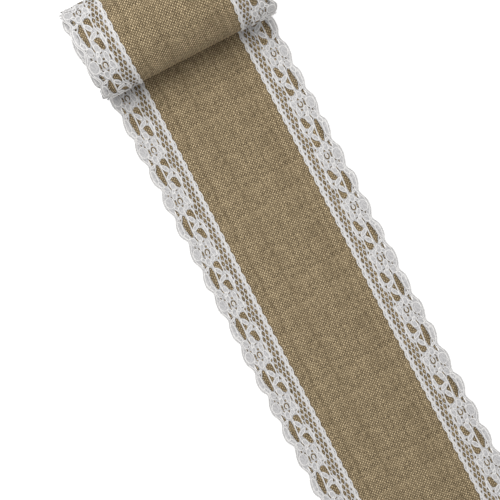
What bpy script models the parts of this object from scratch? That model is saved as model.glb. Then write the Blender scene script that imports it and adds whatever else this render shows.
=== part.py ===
"""Table runner: a long strip of jute hessian, with a trim of lace sewn along both of its edges.

Part of the strip is wound on a cardboard core and the rest lies flat. The frame has X across the strip, the
roll towards +Y and the free end towards -Y, +Z up, with the origin under the middle of the whole object.
The cloth winds with its face outwards: it comes over the top of the roll, down its front, tucks under it and
folds back to lie flat with the face up. Seen from +X every piece of cloth is a thin strip along one path.
"""

import math

import bmesh
import bpy
from mathutils import Vector

# Driving sizes, in metres
OVERALL_WIDTH = 0.150  # outer edge of one lace to outer edge of the other
CLOTH_LENGTH = 2.0  # along the cloth, wound and flat parts together
LACE_WIDTH = 0.032
LACE_OVERHANG = 0.006  # how far the lace stands out past the cut edge of the hessian
HESSIAN_THICKNESS = 0.0009
LACE_THICKNESS = 0.0005
SEAM_WIDTH = 0.0008  # the row of sewing thread along the lace's heading
SEAM_THICKNESS = 0.0004
OVERCAST_WIDTH = 0.0012  # the thread wrapped over the hessian's cut edge
CORE_BORE = 0.038
CORE_WALL = 0.0015
TURNS = 8.0  # whole turns of cloth on the core
FOLD_RADIUS = 0.0035  # of the hessian's back, where the cloth folds forward onto the table

# Clearances, in metres
TOUCHING = 0.0003  # between pieces that lie against each other
BETWEEN_TURNS = 0.0003

# Angles, in degrees about the roll's axis, from +Y towards +Z
STEP = 18  # of one facet of the roll
LEAVES_ROLL = 234  # 90 is the top, 180 the front, 270 the bottom
FLAT_PIECES = 3  # facets along the flat part

HESSIAN_WIDTH = OVERALL_WIDTH - 2 * LACE_OVERHANG
LACE_LEVEL = HESSIAN_THICKNESS + TOUCHING  # of the lace's back, above the hessian's back
CLOTH_DEPTH = LACE_LEVEL + LACE_THICKNESS
TURN_PITCH = CLOTH_DEPTH + BETWEEN_TURNS
CORE_RADIUS = CORE_BORE / 2 + CORE_WALL
INNER_RADIUS = CORE_RADIUS + TOUCHING
OUTER_RADIUS = INNER_RADIUS + TURNS * TURN_PITCH


def direction(degrees):
    """Unit vector in the plane seen from the side, as (y, z)."""
    return Vector((math.cos(math.radians(degrees)), math.sin(math.radians(degrees))))


def to_face(along):
    """The side that the cloth's face looks to, for cloth that runs this way."""
    return Vector((along.y, -along.x))


def offset_path(points, distance):
    """The path moved sideways towards the cloth's face, each of its facets by the same distance."""
    sides = [to_face((b - a).normalized()) for a, b in zip(points, points[1:])]
    moved = []
    for point, before, after in zip(points, sides[:1] + sides, sides + sides[-1:]):
        mitre = (before + after).normalized()
        moved.append(point + mitre * (distance / mitre.dot(after)))
    return moved


def path_length(points):
    return sum((b - a).length for a, b in zip(points, points[1:]))


def wound_path():
    """The hessian's back around the core, with the roll's axis at (0, 0)."""
    steps = round(TURNS * 360 / STEP)
    return [
        direction(LEAVES_ROLL - (steps - step) * STEP) * (INNER_RADIUS + step * STEP / 360 * TURN_PITCH)
        for step in range(steps + 1)
    ]


def cloth_path():
    """The hessian's back from its inner end on the core to its free end, in the object's frame."""
    wound = wound_path()
    faces = offset_path(wound, CLOTH_DEPTH)
    axis_height = -min(point.y for point in faces)
    roll_back = max(point.x for point in faces)

    # Straight down off the roll, to where the fold starts
    runs = direction(LEAVES_ROLL + 90)
    leaves = wound[-1] + Vector((0, axis_height))
    fold_top = FOLD_RADIUS * (1 - to_face(runs).y)
    drops = (leaves.y - fold_top) / -runs.y
    fold_start = leaves + runs * drops

    # The fold turns the cloth from that slope to lie level, with its face on the inside of the bend
    centre = fold_start + to_face(runs) * FOLD_RADIUS
    turn = LEAVES_ROLL - 90
    fold = [centre + direction(LEAVES_ROLL - 180 - step * STEP) * FOLD_RADIUS for step in range(turn // STEP + 1)]

    path = [point + Vector((0, axis_height)) for point in wound] + fold
    flat_length = CLOTH_LENGTH - path_length(path)
    path += [fold[-1] - Vector((flat_length * piece / FLAT_PIECES, 0)) for piece in range(1, FLAT_PIECES + 1)]
    middle = (roll_back + path[-1].x) / 2
    return [point - Vector((middle, 0)) for point in path], Vector((-middle, axis_height))


CLOTH_PATH, ROLL_AXIS = cloth_path()


def material(name, colour, roughness):
    made = bpy.data.materials.new(name)
    made.use_nodes = True
    shader = made.node_tree.nodes["Principled BSDF"]
    shader.inputs["Base Color"].default_value = (*colour, 1)
    shader.inputs["Roughness"].default_value = roughness
    shader.inputs["Metallic"].default_value = 0
    made.diffuse_color = (*colour, 1)
    return made


def add_object(name, mesh, look):
    piece = bpy.data.objects.new(name, mesh)
    piece.data.materials.append(look)
    bpy.context.scene.collection.objects.link(piece)
    return piece


def add_strip(name, x_low, x_high, level, thickness, look):
    """A strip of cloth or thread along the path, its back this far above the hessian's back."""
    shape = bmesh.new()
    back = [shape.verts.new((x_low, point.x, point.y)) for point in offset_path(CLOTH_PATH, level)]
    edges = [shape.edges.new(pair) for pair in zip(back, back[1:])]
    swept = bmesh.ops.extrude_edge_only(shape, edges=edges)["geom"]
    far_side = [item for item in swept if isinstance(item, bmesh.types.BMVert)]
    bmesh.ops.translate(shape, verts=far_side, vec=(x_high - x_low, 0, 0))
    shape.normal_update()
    free_end = min(shape.faces, key=lambda face: face.calc_center_median().y)
    if free_end.normal.z < 0:
        bmesh.ops.reverse_faces(shape, faces=shape.faces)
    mesh = bpy.data.meshes.new(name)
    shape.to_mesh(mesh)
    shape.free()
    piece = add_object(name, mesh, look)
    solid = piece.modifiers.new("Thickness", "SOLIDIFY")
    solid.thickness = thickness
    solid.offset = 1
    solid.use_even_offset = True
    return piece


def add_core(look):
    """The cardboard tube that the cloth is wound on: its wall's section, spun about the roll's axis."""
    shape = bmesh.new()
    half = HESSIAN_WIDTH / 2
    corners = [
        shape.verts.new((x, radius, 0))
        for x, radius in ((-half, CORE_BORE / 2), (half, CORE_BORE / 2), (half, CORE_RADIUS), (-half, CORE_RADIUS))
    ]
    wall = shape.faces.new(corners)
    bmesh.ops.spin(
        shape,
        geom=list(wall.verts) + list(wall.edges),
        cent=(0, 0, 0),
        axis=(1, 0, 0),
        angle=2 * math.pi,
        steps=360 // STEP,
        use_merge=True,
    )
    bmesh.ops.delete(shape, geom=[wall], context="FACES_ONLY")
    bmesh.ops.recalc_face_normals(shape, faces=shape.faces)
    mesh = bpy.data.meshes.new("core")
    shape.to_mesh(mesh)
    shape.free()
    mesh.shade_smooth()
    mesh.set_sharp_from_angle(angle=math.radians(30))
    core = add_object("core", mesh, look)
    core.location = (0, ROLL_AXIS.x, ROLL_AXIS.y)
    return core


for old in list(bpy.data.objects):
    bpy.data.objects.remove(old, do_unlink=True)

jute = material("jute_hessian", (0.250, 0.190, 0.115), 0.92)
lace = material("white_lace", (0.780, 0.780, 0.810), 0.80)
thread = material("white_thread", (0.800, 0.800, 0.800), 0.70)
board = material("grey_board", (0.420, 0.330, 0.230), 0.88)

half_hessian = HESSIAN_WIDTH / 2
add_strip("hessian", -half_hessian, half_hessian, 0, HESSIAN_THICKNESS, jute)
for side, sign in (("left", -1), ("right", 1)):
    outer = sign * OVERALL_WIDTH / 2
    heading = outer - sign * LACE_WIDTH
    seam_near = heading - sign * TOUCHING
    seam_far = seam_near - sign * SEAM_WIDTH
    edge_near = sign * (half_hessian + TOUCHING)
    edge_far = edge_near + sign * OVERCAST_WIDTH
    add_strip(f"lace_{side}", *sorted((heading, outer)), LACE_LEVEL, LACE_THICKNESS, lace)
    add_strip(f"seam_thread_{side}", *sorted((seam_near, seam_far)), LACE_LEVEL, SEAM_THICKNESS, thread)
    add_strip(f"edge_thread_{side}", *sorted((edge_near, edge_far)), 0, HESSIAN_THICKNESS, thread)
add_core(board)
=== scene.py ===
"""Table runner: a long strip of jute hessian with a lace trim sewn along both edges, part of it wound on a
cardboard core and the rest laid flat. X runs across the strip, the roll is towards +Y, the free end towards -Y.
"""

import math
import random

import bmesh
import bpy
import numpy as np
from mathutils import Matrix, Vector


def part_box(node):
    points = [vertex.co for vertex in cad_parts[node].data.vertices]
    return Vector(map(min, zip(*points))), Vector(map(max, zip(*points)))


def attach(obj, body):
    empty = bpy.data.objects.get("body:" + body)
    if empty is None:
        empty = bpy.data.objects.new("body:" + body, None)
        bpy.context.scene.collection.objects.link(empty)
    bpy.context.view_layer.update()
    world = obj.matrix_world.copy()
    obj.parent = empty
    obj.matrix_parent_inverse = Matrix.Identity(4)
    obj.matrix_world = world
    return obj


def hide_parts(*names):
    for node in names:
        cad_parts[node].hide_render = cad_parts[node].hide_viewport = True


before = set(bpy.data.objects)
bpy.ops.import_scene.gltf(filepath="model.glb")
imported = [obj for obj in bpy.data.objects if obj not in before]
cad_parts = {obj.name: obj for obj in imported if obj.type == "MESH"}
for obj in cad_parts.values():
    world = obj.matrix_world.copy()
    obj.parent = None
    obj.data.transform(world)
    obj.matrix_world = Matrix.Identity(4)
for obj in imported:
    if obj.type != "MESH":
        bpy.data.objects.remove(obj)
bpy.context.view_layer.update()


# Table top, camera and lights.
# A wide white table under soft, even studio light. The camera looks straight down on the roll and on the first
# half of the flat cloth, turned so that the strip runs from corner to corner.

CAMERA_PLACE = (-0.0295, 0.0739, 0.770)
CAMERA_TURN = math.radians(-27.4)

camera_data = bpy.data.cameras.new("camera")
camera_data.lens = 67.9
camera_data.clip_start = 0.01
camera = bpy.data.objects.new("camera", camera_data)
camera.location = CAMERA_PLACE
camera.rotation_euler = (0, 0, CAMERA_TURN)
bpy.context.scene.collection.objects.link(camera)
bpy.context.scene.camera = camera
bpy.context.scene.view_settings.view_transform = "Standard"


class Wire:
    """A value in a material's node tree, on which Python's operators add Math nodes."""

    def __init__(self, tree, socket=None):
        self.tree = tree
        self.socket = socket

    def node(self, kind, settings=None, values=None, output=0):
        made = self.tree.nodes.new(kind)
        for name, setting in (settings or {}).items():
            setattr(made, name, setting)
        for name, value in (values or {}).items():
            if isinstance(value, Wire):
                self.tree.links.new(value.socket, made.inputs[name])
            else:
                made.inputs[name].default_value = value
        return Wire(self.tree, made.outputs[output])

    def maths(self, operation, *values):
        return self.node("ShaderNodeMath", {"operation": operation}, dict(enumerate((self, *values))))

    def __add__(self, other):
        return self.maths("ADD", other)

    __radd__ = __add__

    def __mul__(self, other):
        return self.maths("MULTIPLY", other)

    __rmul__ = __mul__

    def __sub__(self, other):
        return self.maths("SUBTRACT", other)

    def __rsub__(self, other):
        return self.node("ShaderNodeMath", {"operation": "SUBTRACT"}, {0: other, 1: self})

    def __truediv__(self, other):
        return self.maths("DIVIDE", other)

    def __gt__(self, other):
        return self.maths("GREATER_THAN", other)

    def spread(self, low, high, to_low=0.0, to_high=1.0):
        """This value, with low to high spread over to_low to to_high, and held there outside them."""
        sockets = {"Value": self, "From Min": low, "From Max": high, "To Min": to_low, "To Max": to_high}
        return self.node("ShaderNodeMapRange", {"interpolation_type": "SMOOTHSTEP"}, sockets)

    def tint(self, at_zero, at_one):
        """One colour where this value is 0, and the other where it is 1."""
        return self.node("ShaderNodeMix", {"data_type": "RGBA"}, {0: self, 6: at_zero, 7: at_one}, 2)

    def noise(self, scale, detail=2.0, roughness=0.5):
        """Noise on this vector, mostly from 0.3 to 0.7."""
        sockets = {"Vector": self, "Scale": scale, "Detail": detail, "Roughness": roughness}
        return self.node("ShaderNodeTexNoise", {}, sockets)

    def vector(self, x, y, z=0.0):
        return self.node("ShaderNodeCombineXYZ", {}, {0: x, 1: y, 2: z})


def new_material(name, **fixed):
    """A material with these values set on its shader's own sockets."""
    made = bpy.data.materials.new(name)
    made.use_nodes = True
    shader = made.node_tree.nodes["Principled BSDF"]
    for socket, value in fixed.items():
        shader.inputs[socket.replace("_", " ")].default_value = value
    return made, shader, Wire(made.node_tree)


def feed(shader, wire, socket):
    wire.tree.links.new(wire.socket, shader.inputs[socket])


def feed_relief(shader, height, distance, strength=1.0):
    """Bump from this height, which runs from 0 to 1 over this distance in metres."""
    sockets = {"Height": height, "Distance": distance, "Strength": strength}
    feed(shader, height.node("ShaderNodeBump", {}, sockets), "Normal")


def new_piece(name, shape, look):
    """A finished mesh object from a bmesh."""
    mesh = bpy.data.meshes.new(name)
    shape.to_mesh(mesh)
    shape.free()
    mesh.materials.append(look)
    piece = bpy.data.objects.new(name, mesh)
    bpy.context.scene.collection.objects.link(piece)
    return piece


table_look, table_shader, wire = new_material(
    "table_white", Roughness=0.7, Specular_IOR_Level=0.2, Emission_Color=(1, 1, 1, 1), Emission_Strength=0.30
)
grain = wire.node("ShaderNodeTexCoord", output=3).noise(35.0, 4.0)
feed(table_shader, grain.tint((0.90, 0.90, 0.90, 1), (0.93, 0.93, 0.93, 1)), "Base Color")

table = bmesh.new()
bmesh.ops.create_grid(table, x_segments=1, y_segments=1, size=40.0)
bmesh.ops.translate(table, verts=table.verts, vec=(0, 0, -0.0004))
new_piece("table_top", table, table_look)

world = bpy.data.worlds.new("studio")
world.use_nodes = True
world.node_tree.nodes["Background"].inputs["Color"].default_value = (1.0, 1.0, 1.0, 1)
world.node_tree.nodes["Background"].inputs["Strength"].default_value = 0.62
bpy.context.scene.world = world

for light_name, place, size, power in (
    ("softbox_above", (-0.20, 0.40, 1.15), 0.8, 9.6),
    ("softbox_side", (0.8, 0.5, 1.0), 0.8, 3.2),
):
    light_data = bpy.data.lights.new(light_name, "AREA")
    light_data.size = size
    light_data.energy = power
    light = bpy.data.objects.new(light_name, light_data)
    light.location = place
    light.rotation_euler = (Vector((0, 0.1, 0)) - Vector(place)).to_track_quat("-Z", "Y").to_euler()
    bpy.context.scene.collection.objects.link(light)


# Hessian: the strip itself.
# A coarse plain weave of undyed jute, cut to width. It is wound on the core with its face outwards, comes down
# the front of the roll, folds back under it and lies face up on the table.

HESSIAN_WIDTH = 0.138
CLOTH_LENGTH = 2.0
HESSIAN_THICKNESS = 0.0009
INNER_RADIUS = 0.0208  # of the innermost turn's back
TURN_PITCH = 0.002
TURNS = 8.0
LEAVES_ROLL = 234.0  # degrees about the roll's axis from +Y towards +Z; 90 is the top
FOLD_RADIUS = 0.0035

core_low, core_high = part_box("core")
AXIS = np.array([(core_low[1] + core_high[1]) / 2, (core_low[2] + core_high[2]) / 2])
FREE_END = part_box("hessian")[0][1]


def direction(degrees):
    return np.stack([np.cos(np.radians(degrees)), np.sin(np.radians(degrees))], axis=-1)


def cloth_path():
    """The hessian's back from the free end to its end on the core, in the plane seen from the side: the distance
    along it, its points as (y, z), and the direction that the face looks to, in degrees."""
    turned = np.linspace(0, TURNS * 360, round(TURNS * 180) + 1)
    wound = AXIS + direction(LEAVES_ROLL - turned) * (INNER_RADIUS + (TURNS - turned / 360) * TURN_PITCH)[:, None]
    runs = direction(LEAVES_ROLL + 90)
    fold_top = FOLD_RADIUS * (1 - direction(LEAVES_ROLL)[1])
    fold_start = wound[0] + runs * max(0.0, (wound[0][1] - fold_top) / -runs[1])
    bend = np.linspace(LEAVES_ROLL - 90, 0, 49)
    centre = np.array([fold_start[0] + direction(LEAVES_ROLL)[0] * FOLD_RADIUS, FOLD_RADIUS])
    fold = centre + direction(LEAVES_ROLL - 180 - bend) * FOLD_RADIUS
    points = np.concatenate([[[FREE_END, 0.0]], fold, wound])
    faces = np.concatenate([[90.0], LEAVES_ROLL - bend, LEAVES_ROLL - turned])
    lengths = np.concatenate([[0], np.cumsum(np.linalg.norm(np.diff(points, axis=0), axis=1))])
    return lengths, points, faces


PATH_LENGTHS, PATH_POINTS, PATH_FACES = cloth_path()
FLAT_LENGTH = PATH_LENGTHS[1]

OUTER_TURN = 0.22  # length of cloth in one of the roll's outer turns
TURN_SWAY = (  # turns in from the outside, and how far sideways in millimetres
    (0.0, 0.5), (0.4, 0.0), (0.8, -0.4), (1.2, -1.6), (1.6, -2.3), (2.1, -1.4), (2.6, -2.4), (3.2, -1.0),
    (4.0, -2.0), (5.0, -0.6), (6.0, -1.6), (7.0, -0.4), (8.0, -1.0),
)


def sway(along):
    """How far the strip lies off its line, sideways: a little askew on the table, and uneven on the roll."""
    flat = 0.0015 * (1 - along / FLAT_LENGTH) - 0.0006 + 0.0003 * np.sin(along * 17)
    turn = (along - FLAT_LENGTH) / OUTER_TURN
    wound = np.interp(turn, *zip(*TURN_SWAY)) * 0.001
    share = np.clip((along - FLAT_LENGTH) / 0.05, 0, 1)
    return flat * (1 - share) + wound * share


def lift(across, along):
    """How far the flat part stands off the table: long, low ripples that die out at the fold."""
    ripple = np.sin(along * 23 + across * 9) * np.sin(along * 7.1 + 1.3) + 0.5 * np.sin(across * 46 + along * 11)
    edge = (np.abs(across) / 0.075) ** 4
    settled = np.clip((FLAT_LENGTH - along) / 0.04, 0, 1)
    return (0.00028 * (ripple + 1.5) + 0.0003 * edge * (1 + np.sin(along * 61 + across * 30))) * settled


LOOSE_FROM = 0.046  # how far from the strip's middle the lace starts to lie unevenly
LOOSE_FADE = 0.02


def lay(piece, level=0.0):
    """Moves a flat piece, drawn with X across and Y along from the free end, onto the cloth's path. Whatever is
    out towards the edges lies a little unevenly, as soft lace does."""
    flat = np.empty(len(piece.data.vertices) * 3)
    piece.data.vertices.foreach_get("co", flat)
    across, along, height = flat.reshape(-1, 3).T
    height = height + level
    loose = np.clip((np.abs(across) - LOOSE_FROM) / LOOSE_FADE, 0, 1)
    across = across + loose * (0.00030 * np.sin(along * 97 + 1) + 0.00022 * np.sin(along * 233 + across * 60))
    along = along + loose * 0.00035 * np.sin(along * 61 + across * 90)
    face = np.radians(np.interp(along, PATH_LENGTHS, PATH_FACES))
    y = np.interp(along, PATH_LENGTHS, PATH_POINTS[:, 0]) + np.minimum(along, 0) + height * np.cos(face)
    z = np.interp(along, PATH_LENGTHS, PATH_POINTS[:, 1]) + height * np.sin(face) + lift(across, along)
    piece.data.vertices.foreach_set("co", np.stack([across + sway(along), y, z], axis=1).ravel())
    piece.data.update()


def flat_map(piece, width, length, start=(0.0, 0.0), turned=1.0):
    """A UV map that repeats every width across and length along. It is made while the piece is still flat."""
    uv = piece.data.uv_layers.new(name="OFBake")
    flat = np.empty(len(piece.data.vertices) * 3)
    piece.data.vertices.foreach_get("co", flat)
    corner = np.empty(len(piece.data.loops), dtype=np.int64)
    piece.data.loops.foreach_get("vertex_index", corner)
    flat = (flat.reshape(-1, 3)[corner, :2] - start) * turned
    uv.data.foreach_set("uv", (flat / (width, length)).ravel())


def shade_smooth(piece):
    piece.data.polygons.foreach_set("use_smooth", [True] * len(piece.data.polygons))


YARN_GAP = (0.00127, 0.00131)  # from one yarn to the next: warp across the strip, weft along it
YARNS = 64  # yarns each way in one repeat of the pattern

hessian_look, hessian_shader, wire = new_material("jute_hessian", Roughness=0.92, Specular_IOR_Level=0.25)
place = wire.node("ShaderNodeUVMap", {"uv_map": "OFBake"})
across = place.node("ShaderNodeSeparateXYZ", {}, {0: place}, 0).maths("FRACT")
along = place.node("ShaderNodeSeparateXYZ", {}, {0: place}, 1).maths("FRACT")
tile = place.vector(across, along)
inside = (across * (1 - across) * along * (1 - along) * 60.0).maths("MINIMUM", 1.0)
warp = across * YARNS + (tile.noise(9.0, 2.0) - 0.5) * inside * 0.9
weft = along * YARNS + (place.vector(along, across, 4.0).noise(8.0, 2.0) - 0.5) * inside * 1.1
warp_number = warp.maths("FLOOR")
weft_number = weft.maths("FLOOR")
warp_side = (warp.maths("FRACT") - 0.5) * 2.0
weft_side = (weft.maths("FRACT") - 0.5) * 2.0
warp_over = ((warp_number + weft_number) / 2.0).maths("FRACT") > 0.25
over_sign = warp_over * 2.0 - 1.0


def yarn_tone(number, along_yarn, seed):
    """How light a yarn is, from 0 to 1: each yarn differs, and changes slowly along its length."""
    own = wire.node("ShaderNodeTexWhiteNoise", {}, {"Vector": wire.vector(number, seed)})
    slow = wire.vector(number * 3.7, along_yarn * 0.16, seed).noise(1.0, 2.0)
    fibres = wire.vector(number * 3.1, along_yarn * 1.4, seed + 5.0).noise(2.6, 4.0, 0.7)
    return own * 0.42 + (slow - 0.5) * 0.30 + (fibres - 0.5) * 0.7 + 0.26


def yarn_width(number, along_yarn, seed):
    thick = wire.vector(number * 2.3, along_yarn * 0.22, seed).noise(1.0, 1.0)
    return thick.spread(0.3, 0.7, 0.74, 1.0)


def yarn_height(side, other_side, width, over):
    """How high a yarn stands: round across its width, and rising and falling as it passes over and under."""
    body = (1 - (side / width).maths("POWER", 2.0)).maths("MAXIMUM", 0.0).maths("SQRT")
    wave = (other_side * (math.pi / 2)).maths("COSINE") * over
    return body * (wave * 0.42 + 0.58)


warp_height = yarn_height(warp_side, weft_side, yarn_width(warp_number, weft, 1.0), over_sign)
weft_height = yarn_height(weft_side, warp_side, yarn_width(weft_number, warp, 2.0), over_sign * -1.0)
height = warp_height.maths("MAXIMUM", weft_height)
on_warp = warp_height > weft_height
tone = yarn_tone(warp_number, weft, 3.0) * on_warp + yarn_tone(weft_number, warp, 7.0) * (1 - on_warp)
crossing = wire.node("ShaderNodeTexWhiteNoise", {}, {"Vector": wire.vector(warp_number, weft_number, 2.0)})
# Each crossing's own random tone, plus warp yarns made lighter than weft yarns: a painted highlight, as if the light
# fell from one side.
crossing_tone_and_warp_highlight = (crossing - 0.5) * 0.20 + (on_warp - 0.5) * 0.36
# The yarns' height lightens the colour: a painted highlight on each yarn's crown, and painted shade down its sides
# and in the gaps between yarns, which the ramp takes to near black.
lightness = height.spread(0.12, 1.0) * 0.52 + tone * 0.38 + crossing_tone_and_warp_highlight + 0.02
shade = lightness.maths("MAXIMUM", 0.0).maths("MINIMUM", 1.0)
jute = shade.node("ShaderNodeValToRGB", {}, {"Fac": shade})
stops = jute.socket.node.color_ramp.elements
stops[0].color = (0.020, 0.013, 0.006, 1)
stops[1].color = (0.60, 0.475, 0.295, 1)
for position, colour in ((0.35, (0.110, 0.079, 0.041, 1)), (0.65, (0.275, 0.208, 0.120, 1))):
    stops.new(position).color = colour
feed(hessian_shader, jute, "Base Color")
feed_relief(hessian_shader, height * 0.85 + tone * 0.15, 0.0005)

hessian_shape = bmesh.new()
bmesh.ops.create_grid(hessian_shape, x_segments=24, y_segments=960, size=0.5)
row_ends = np.array([0.0, 0.19, 0.235, 1.0])
row_places = np.array([0.0, FLAT_LENGTH - 0.004, FLAT_LENGTH + 0.016, CLOTH_LENGTH])
for vert in hessian_shape.verts:
    vert.co.x *= HESSIAN_WIDTH
    vert.co.y = np.interp(vert.co.y + 0.5, row_ends, row_places)
hessian = new_piece("hessian_cloth", hessian_shape, hessian_look)
flat_map(hessian, YARN_GAP[0] * YARNS, YARN_GAP[1] * YARNS)
lay(hessian)
shade_smooth(hessian)
thickness = hessian.modifiers.new("cloth_thickness", "SOLIDIFY")
thickness.thickness = HESSIAN_THICKNESS
thickness.offset = 1.0
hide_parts("hessian")
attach(hessian, "cloth")


# Yarn ends: the fray along the hessian's cut end.
# The warp yarns stand a few millimetres out past the last weft yarn, each a little bent.

def cord_piece(name, lines, thickness, look, closed=False, sides=0):
    """One mesh of round cords, each along a list of flat points."""
    drawn = bpy.data.curves.new(name, "CURVE")
    drawn.dimensions = "3D"
    drawn.bevel_depth = thickness / 2
    drawn.bevel_resolution = sides
    drawn.use_fill_caps = True
    for line in lines:
        spline = drawn.splines.new("POLY")
        spline.points.add(len(line) - 1)
        spline.points.foreach_set("co", [value for point in line for value in (*point, 1.0)])
        spline.use_cyclic_u = closed
    maker = bpy.data.objects.new(name, drawn)
    mesh = bpy.data.meshes.new_from_object(maker)
    bpy.data.objects.remove(maker)
    bpy.data.curves.remove(drawn)
    mesh.materials.clear()
    mesh.materials.append(look)
    piece = bpy.data.objects.new(name, mesh)
    bpy.context.scene.collection.objects.link(piece)
    return piece


fray_look, fray_shader, wire = new_material("jute_yarn", Roughness=0.95, Specular_IOR_Level=0.2)
spot = wire.node("ShaderNodeTexCoord", output=3)
strands = spot.noise(900.0, 4.0, 0.7).spread(0.3, 0.7)
feed(fray_shader, strands.tint((0.16, 0.12, 0.07, 1), (0.42, 0.33, 0.21, 1)), "Base Color")
feed_relief(fray_shader, strands, 0.0002)

random.seed(4)
fray_lines = []
for number in range(int(HESSIAN_WIDTH / YARN_GAP[0])):
    x = -HESSIAN_WIDTH / 2 + (number + 0.5) * YARN_GAP[0]
    reach = random.uniform(0.0008, 0.0034)
    bent = random.uniform(-0.0012, 0.0012)
    fray_lines.append([(x, 0.002, 0), (x, 0, 0), (x + bent * 0.3, -reach * 0.5, 0), (x + bent, -reach, -0.0001)])
fray = cord_piece("yarn_ends", fray_lines, 0.0007, fray_look, sides=1)
lay(fray, 0.0005)
shade_smooth(fray)
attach(fray, "cloth")


# Lace: one trim along each long edge of the hessian.
# A cotton lace with a scalloped heading towards the middle, a band of open net, and a row of flowers whose
# petals make the outer edge. Both are the same trim, and the right one is turned end for end.

LACE_REPEAT = 0.047  # length of one repeat of the motif
REPEAT_MM = 47.0
LACE_MAP_WIDTH = 0.036  # what the UV map takes in, a little more than the lace
LACE_START = {-1: 0.4934, 1: 0.5045}  # how far along a repeat starts, on the left and on the right
LACE_LEVEL = 0.0012  # of its back above the hessian's back
LACE_THICKNESS = 0.00034
LACE_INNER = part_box("lace_right")[0][0]
MM = 0.001

# In millimetres: how far along the repeat, and how far out from the heading
NET_ROW = 4.7
NET_COLUMNS = (
    (5.05, 8.05), (6.55, 9.55), (5.05, 8.05), (6.55, 9.55), (5.05, 8.05, 11.05),
    (6.55, 9.55), (5.05, 8.05), (6.55,), (5.05, 8.05), (6.55, 9.55),
)
REPEAT_JOIN = ((1.0, 3.6), (-1.0, 5.05), (1.0, 6.55), (-1.0, 8.05), (1.0, 9.6), (0.0, 11.2))  # between the holes
SMALL_NET_HOLES = (  # along, out, half length, half width
    (7.05, 3.5, 1.5, 0.6), (16.45, 3.5, 1.5, 0.6), (25.85, 3.5, 1.5, 0.6), (35.25, 3.5, 1.5, 0.6),
    (44.2, 3.5, 1.3, 0.6), (15.0, 12.2, 1.6, 0.75), (25.6, 12.1, 1.5, 0.6), (34.8, 9.1, 1.6, 0.6),
)
OUTER_EDGE = (
    (0.0, 31.4), (3.6, 32.0), (7.0, 32.2), (10.0, 31.6), (13.0, 30.1), (15.6, 29.3), (17.6, 29.0), (20.0, 29.6),
    (22.2, 30.8), (25.5, 31.7), (29.0, 32.1), (32.6, 32.0), (35.2, 31.0), (37.4, 29.6), (39.4, 28.9),
    (41.4, 29.3), (44.0, 30.3), (47.0, 31.4),
)
OVAL_HOLES = (  # along, out, half length, half width, turn in degrees
    (14.8, 25.6, 3.6, 1.4, -12), (21.3, 26.0, 1.2, 0.8, 0), (39.9, 26.7, 1.7, 0.8, 0),
    (44.4, 22.9, 1.0, 0.8, 10), (44.4, 17.4, 0.7, 1.0, 0), (2.6, 12.1, 2.4, 0.5, 0), (2.2, 17.5, 1.1, 0.8, 0),
    (6.6, 22.1, 2.6, 0.7, 4), (9.9, 22.3, 1.1, 0.5, -30), (40.4, 21.3, 2.4, 0.55, -8), (1.6, 23.7, 1.2, 0.8, 10),
    (45.7, 25.7, 1.2, 0.9, 0), (11.4, 18.4, 0.9, 0.9, 0),
    (33.6, 28.6, 1.5, 0.5, -20), (28.4, 27.0, 3.4, 0.42, 3), (12.6, 13.4, 0.8, 0.6, 0),
)
LONG_HOLE = (
    (18.6, 22.8), (19.0, 21.2), (24.0, 20.7), (28.0, 20.9), (32.5, 21.3), (36.6, 21.7), (38.2, 23.0), (37.2, 24.2),
    (34.6, 24.6), (28.0, 25.6), (24.0, 25.5), (22.0, 24.1),
)
LEAF_HOLES = (
    ((15.9, 16.6), (16.6, 14.2), (18.6, 13.4), (22.4, 13.2), (25.4, 13.4), (26.4, 14.3), (24.0, 14.9),
     (21.9, 16.3), (20.6, 18.4), (18.0, 18.9)),
    ((23.4, 19.5), (25.8, 18.7), (28.2, 16.7), (29.5, 17.4), (31.0, 19.4), (32.4, 20.4), (28.0, 19.9)),
    ((29.4, 12.3), (31.8, 11.7), (32.2, 13.4), (30.8, 13.4)),
    ((33.3, 15.4), (34.2, 13.2), (36.4, 12.5), (40.4, 12.2), (43.0, 12.3), (43.6, 14.4), (41.6, 15.9),
     (38.0, 16.8), (35.8, 17.9), (34.3, 18.0)),
)
PETALS = (  # as OVAL_HOLES
    (24.5, 17.1, 3.4, 1.5, -30), (31.7, 16.6, 3.7, 1.45, 56), (40.9, 18.6, 3.3, 1.9, -12), (1.6, 14.6, 3.9, 1.6, 3),
    (8.8, 13.4, 3.7, 1.8, -8), (13.2, 16.4, 2.2, 1.6, 30), (14.0, 20.9, 3.4, 1.9, 6), (1.4, 20.6, 2.9, 1.6, 16),
    (41.6, 24.4, 3.6, 2.4, -10), (5.0, 26.6, 4.8, 3.4, 4), (11.2, 23.8, 2.0, 1.2, -30), (27.6, 28.3, 6.2, 1.9, 3),
    (35.4, 27.0, 3.0, 1.3, -22), (18.9, 25.0, 2.0, 0.9, 60), (44.6, 20.0, 2.2, 1.1, 30), (36.6, 11.0, 4.0, 1.1, 0),
)
FLOWER = (7.0, 18.4)
HEADING_BUMPS = 5


def heading_edge(u):
    """The scalloped edge of the heading, as a distance out from the tops of its bumps."""
    return 1.3 * (1 - abs(math.cos(math.pi * (HEADING_BUMPS * u / REPEAT_MM - 0.12))) ** 0.8)


def oval(along, out, half_length, half_width, turn, points=12):
    """A closed loop around an oval."""
    turned = Matrix.Rotation(math.radians(turn), 2)
    corners = [2 * math.pi * n / points for n in range(points)]
    return [
        Vector((along, out)) + turned @ Vector((half_length * math.cos(a), half_width * math.sin(a)))
        for a in corners
    ]


def net_hole(along, out, half_length=2.95, half_width=1.18):
    """A long hexagon."""
    shape = ((1, 0), (0.3, 1), (-0.3, 1), (-1, 0), (-0.3, -1), (0.3, -1))
    return [Vector((along + a * half_length, out + b * half_width)) for a, b in shape]


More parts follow.
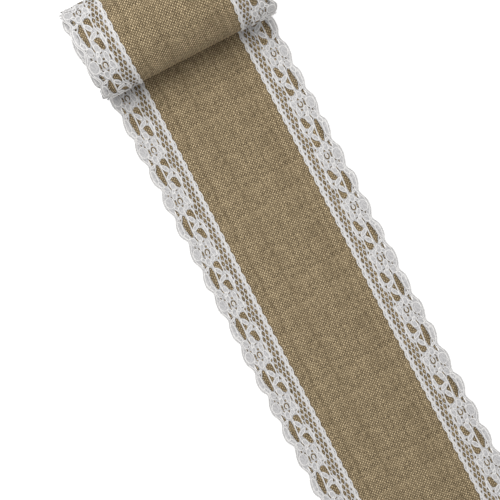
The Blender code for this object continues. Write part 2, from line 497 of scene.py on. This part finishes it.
def flower_gap():
    """The C-shaped gap around the flower's middle."""
    angles = [math.radians(40 + 280 * n / 14) for n in range(15)]
    outside = [Vector((FLOWER[0] + 3.1 * math.cos(a), FLOWER[1] + 2.2 * math.sin(a))) for a in angles]
    inside = [Vector((FLOWER[0] + 1.9 * math.cos(a), FLOWER[1] + 1.05 * math.sin(a))) for a in angles]
    return outside + inside[::-1]


def edge_at(u):
    """The petalled outer edge, with a small loop every couple of millimetres."""
    return np.interp(u, *zip(*OUTER_EDGE)) + 0.3 * abs(math.sin(math.pi * u / 2.35)) - 0.3


def lace_ground():
    """One repeat of the lace as a flat sheet with its holes, drawn with X out from the heading and Y along."""
    places = np.arange(0, REPEAT_MM + 0.01, REPEAT_MM / 60)
    outer = [Vector((u, edge_at(u))) for u in places]
    inner = [Vector((u, heading_edge(u))) for u in places]
    joins = [Vector(point) for point in REPEAT_JOIN]
    far_joins = [point + Vector((REPEAT_MM, 0)) for point in joins]
    loops = [outer + far_joins[::-1] + inner[::-1] + joins]
    loops += [[Vector(point) for point in hole] for hole in (LONG_HOLE, *LEAF_HOLES)]
    loops += [oval(*hole) for hole in OVAL_HOLES] + [flower_gap()]
    for row, columns in enumerate(NET_COLUMNS):
        loops += [net_hole((row + 0.5) * NET_ROW, out) for out in columns]
    loops += [net_hole(*hole) for hole in SMALL_NET_HOLES]
    loops += [net_hole(u, heading_edge(u) * 0.5 + 1.15, 0.9, 0.28) for u in np.arange(1.6, REPEAT_MM, NET_ROW)]
    shape = bmesh.new()
    edges = []
    for loop in loops:
        corners = [shape.verts.new((point.y * MM, point.x * MM, 0)) for point in loop]
        edges += [shape.edges.new(pair) for pair in zip(corners, corners[1:] + corners[:1])]
    bmesh.ops.triangle_fill(shape, use_beauty=True, edges=edges)
    shape.normal_update()
    bmesh.ops.reverse_faces(shape, faces=[face for face in shape.faces if face.normal.z < 0])
    for cut in np.arange(0.004, LACE_REPEAT - 0.001, 0.004):
        geometry = shape.verts[:] + shape.edges[:] + shape.faces[:]
        bmesh.ops.bisect_plane(shape, geom=geometry, dist=1e-7, plane_co=(0, cut, 0), plane_no=(0, 1, 0))
    return shape


def lace_cords():
    """The raised cords of one repeat, as lists of points with X out from the heading and Y along."""
    steps = np.arange(0, REPEAT_MM + 0.01, REPEAT_MM / 48)
    edge = [(u, np.interp(u, *zip(*OUTER_EDGE)) - 0.35) for u in steps]
    second_edge = [(u, np.interp(u, *zip(*OUTER_EDGE)) - 1.7 + 0.25 * math.sin(u * math.pi / 4.7)) for u in steps]
    heading = [(u, heading_edge(u) + 0.4) for u in steps]
    second = [(u, 2.25 + 0.35 * math.sin(2 * math.pi * (HEADING_BUMPS * u / REPEAT_MM - 0.1))) for u in steps]
    net_side = (
        (0.0, 11.0), (4.0, 10.9), (9.2, 10.9), (13.0, 11.4), (14.8, 13.3), (18.0, 12.9), (22.0, 12.7),
        (26.0, 12.9), (28.4, 12.4), (30.2, 11.4), (32.4, 10.2), (35.0, 9.9), (38.0, 9.7), (42.0, 10.9), (47.0, 11.0),
    )
    net_cord = [(u, np.interp(u, *zip(*net_side))) for u in steps]
    thread = [(u, 19.3 + (u - 17) * 0.072) for u in steps if 15 < u < 41]
    lines = [edge, second_edge, heading, second, net_cord, thread]
    for loop in [oval(*petal, points=14) for petal in PETALS] + [oval(*FLOWER, 1.6, 0.85, 0, 10)]:
        lines.append([tuple(point) for point in loop + loop[:1]])
    return [[(v * MM, u * MM, 0.0) for u, v in line] for line in lines]


lace_look, lace_shader, wire = new_material("white_cotton_lace", Roughness=0.85, Specular_IOR_Level=0.3)
place = wire.node("ShaderNodeUVMap", {"uv_map": "OFBake"})
out = place.node("ShaderNodeSeparateXYZ", {}, {0: place}, 0) * (LACE_MAP_WIDTH * 1000)
along = place.node("ShaderNodeSeparateXYZ", {}, {0: place}, 1).maths("FRACT") * (LACE_REPEAT * 1000)
one_way = ((out + along * 0.55) * (math.pi / 0.45)).maths("SINE")
other_way = ((out - along * 0.55) * (math.pi / 0.45)).maths("SINE")
mesh_weave = one_way.maths("MAXIMUM", other_way).spread(-0.4, 0.9)
patchy = wire.vector(out * 0.7, along * 0.5).noise(1.0, 3.0, 0.6).spread(0.36, 0.62)
fuzz = wire.vector(out, along).noise(2.5, 3.0, 0.7)
net_share = out.spread(10.4, 11.6, 0.22, 0.0)
cotton = mesh_weave * 0.34 + patchy * 0.40 + fuzz * 0.36 + net_share
feed(lace_shader, cotton.tint((0.25, 0.247, 0.25, 1), (0.64, 0.63, 0.63, 1)), "Base Color")
feed_relief(lace_shader, mesh_weave * 0.8 + fuzz * 0.2, 0.00022)

cord_look, cord_shader, wire = new_material("white_cotton_cord", Roughness=0.8, Specular_IOR_Level=0.3)
spot = wire.node("ShaderNodeTexCoord", output=3)
twist = spot.noise(1400.0, 3.0, 0.6).spread(0.3, 0.7)
feed(cord_shader, twist.tint((0.64, 0.628, 0.62, 1), (0.86, 0.85, 0.835, 1)), "Base Color")
feed_relief(cord_shader, twist, 0.0001)


def lace_strip(side):
    """How far along each repeat of a trim starts, from one before the free end to one past the other end."""
    first = LACE_START[side] % LACE_REPEAT - LACE_REPEAT
    return [first + n * LACE_REPEAT for n in range(math.ceil(CLOTH_LENGTH / LACE_REPEAT) + 2)]


def repeat_along(mesh, side):
    """The whole length of trim, flat and in place across the strip, cut off square at both ends. The part that
    goes round the fold is cut finely across, so that it can bend there."""
    shape = bmesh.new()
    for start in lace_strip(side):
        begin = len(shape.verts)
        shape.from_mesh(mesh)
        shape.verts.ensure_lookup_table()
        new = shape.verts[begin:]
        if side < 0:
            bmesh.ops.rotate(shape, verts=new, cent=(0, 0, 0), matrix=Matrix.Rotation(math.pi, 3, "Z"))
        bmesh.ops.translate(shape, verts=new, vec=(side * LACE_INNER, start, 0))
    bmesh.ops.remove_doubles(shape, verts=shape.verts, dist=2e-6)
    for end, outward in ((0.0, -1), (CLOTH_LENGTH, 1)):
        geometry = shape.verts[:] + shape.edges[:] + shape.faces[:]
        bmesh.ops.bisect_plane(
            shape, geom=geometry, dist=1e-7, plane_co=(0, end, 0), plane_no=(0, outward, 0), clear_outer=True
        )
    for cut in np.arange(FLAT_LENGTH - 0.0006, FLAT_LENGTH + 0.0105, 0.0006):
        near = [face for face in shape.faces if abs(face.calc_center_median().y - cut) < 0.008]
        geometry = list({item for face in near for item in (*face.verts, *face.edges)}) + near
        bmesh.ops.bisect_plane(shape, geom=geometry, dist=1e-7, plane_co=(0, cut, 0), plane_no=(0, 1, 0))
    return shape


ground = lace_ground()
repeat_area = sum(face.calc_area() for face in ground.faces)
ground_mesh = bpy.data.meshes.new("lace_repeat")
ground.to_mesh(ground_mesh)
ground.free()
cord_repeat = cord_piece("cord_repeat", lace_cords(), 0.00072, cord_look)
cord_mesh = cord_repeat.data
bpy.data.objects.remove(cord_repeat)

laces = {}
for side, name in ((-1, "left"), (1, "right")):
    lace = new_piece("lace_" + name + "_trim", repeat_along(ground_mesh, side), lace_look)
    flat_map(lace, LACE_MAP_WIDTH, LACE_REPEAT, (side * LACE_INNER, LACE_START[side]), side)
    lay(lace, LACE_LEVEL)
    thickness = lace.modifiers.new("lace_thickness", "SOLIDIFY")
    thickness.thickness = LACE_THICKNESS
    thickness.offset = 1.0
    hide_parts("lace_" + name)
    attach(lace, "cloth")
    cords = new_piece("lace_" + name + "_cords", repeat_along(cord_mesh, side), cord_look)
    lay(cords, LACE_LEVEL + LACE_THICKNESS)
    shade_smooth(cords)
    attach(cords, "cloth")
    laces[name] = (lace, cords)


# Seam stitches: what holds the lace to the hessian.
# A running stitch of white sewing thread along each heading, through both cloths.

STITCH_PITCH = 0.0042
STITCH_LENGTH = 0.0030

thread_look, thread_shader, wire = new_material("white_sewing_thread", Roughness=0.6, Specular_IOR_Level=0.4)
spot = wire.node("ShaderNodeTexCoord", output=3)
plies = spot.noise(2400.0, 2.0).spread(0.3, 0.7)
feed(thread_shader, plies.tint((0.62, 0.61, 0.59, 1), (0.86, 0.85, 0.83, 1)), "Base Color")
feed_relief(thread_shader, plies, 0.00008)

for side, name in ((-1, "left"), (1, "right")):
    lines = []
    x = side * (LACE_INNER + 0.0017)
    for start in np.arange(0.001, CLOTH_LENGTH - STITCH_PITCH, STITCH_PITCH):
        lines.append([
            (x, start, -0.0002), (x, start + 0.0004, 0.0001), (x, start + STITCH_LENGTH / 2, 0.00015),
            (x, start + STITCH_LENGTH - 0.0004, 0.0001), (x, start + STITCH_LENGTH, -0.0002),
        ])
    seam = cord_piece("seam_" + name + "_stitches", lines, 0.00036, thread_look, sides=0)
    lay(seam, LACE_LEVEL + LACE_THICKNESS + 0.0001)
    shade_smooth(seam)
    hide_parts("seam_thread_" + name)
    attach(seam, "cloth")


# Overcast edges: the thread wrapped over the hessian's two cut edges, under the lace.
# It stops the weave from coming apart, one slanting wrap after another.

WRAP_PITCH = 0.0034

for side, name in ((-1, "left"), (1, "right")):
    wraps = []
    for start in np.arange(0.002, CLOTH_LENGTH - WRAP_PITCH, WRAP_PITCH):
        wraps.append([
            (
                side * (HESSIAN_WIDTH / 2 - 0.0006) + 0.0012 * math.cos(angle),
                start + 0.0009 * math.sin(angle / 2 + 0.4),
                0.00058 + 0.00046 * math.sin(angle),
            )
            for angle in np.linspace(0, 2 * math.pi, 9)[:-1]
        ])
    overcast = cord_piece("edge_" + name + "_overcast", wraps, 0.00028, thread_look, closed=True)
    lay(overcast)
    shade_smooth(overcast)
    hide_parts("edge_thread_" + name)
    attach(overcast, "cloth")


# Core: the tube that the cloth is wound on.
# Grey board wound in a slanting strip and glued, cut off square a little inside the cloth's edges.

CORE_WALL = 0.0015
core_outside = (core_high[2] - core_low[2]) / 2

core_shape = bmesh.new()
section = []
for corner_x, corner_radius in (
    (core_low[0], core_outside - CORE_WALL), (core_low[0], core_outside), (core_high[0], core_outside),
    (core_high[0], core_outside - CORE_WALL),
):
    section.append(core_shape.verts.new((corner_x, AXIS[0], AXIS[1] + corner_radius)))
for pair in zip(section, section[1:] + section[:1]):
    core_shape.edges.new(pair)
bmesh.ops.bevel(
    core_shape, geom=section, offset=0.0002, segments=2, profile=0.5, affect="VERTICES", material=-1
)
bmesh.ops.spin(
    core_shape, geom=core_shape.verts[:] + core_shape.edges[:], cent=(0, *AXIS), axis=(1, 0, 0),
    angle=2 * math.pi, steps=96, use_merge=True,
)
bmesh.ops.remove_doubles(core_shape, verts=core_shape.verts, dist=1e-6)
bmesh.ops.recalc_face_normals(core_shape, faces=core_shape.faces)

core_look, core_shader, wire = new_material("grey_board", Roughness=0.9, Specular_IOR_Level=0.25)
spot = wire.node("ShaderNodeTexCoord", output=3)
fibre = spot.noise(260.0, 5.0, 0.65).spread(0.25, 0.75)
parts = [wire.node("ShaderNodeSeparateXYZ", {}, {0: spot}, n) for n in range(3)]
around = (parts[2] - float(AXIS[1])).maths("ARCTAN2", parts[1] - float(AXIS[0])) / (2 * math.pi)
join = (parts[0] / 0.09 + around).maths("FRACT").maths("PINGPONG", 0.5).spread(0.0, 0.012)
board = fibre.tint((0.24, 0.21, 0.17, 1), (0.42, 0.37, 0.30, 1))
feed(core_shader, join.tint((0.12, 0.10, 0.08, 1), board), "Base Color")
feed_relief(core_shader, fibre * 0.3 + join * 0.7, 0.0002)

core = new_piece("core_tube", core_shape, core_look)
shade_smooth(core)
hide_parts("core")
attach(core, "core")


# Cut sizes: each lace's flat area, worked out from the area of one repeat, and not kept.
# They come last, once the yarn ends, cords and stitches that go with them are made.

for name, (lace, cords) in laces.items():
    repeat_area / LACE_REPEAT * CLOTH_LENGTH
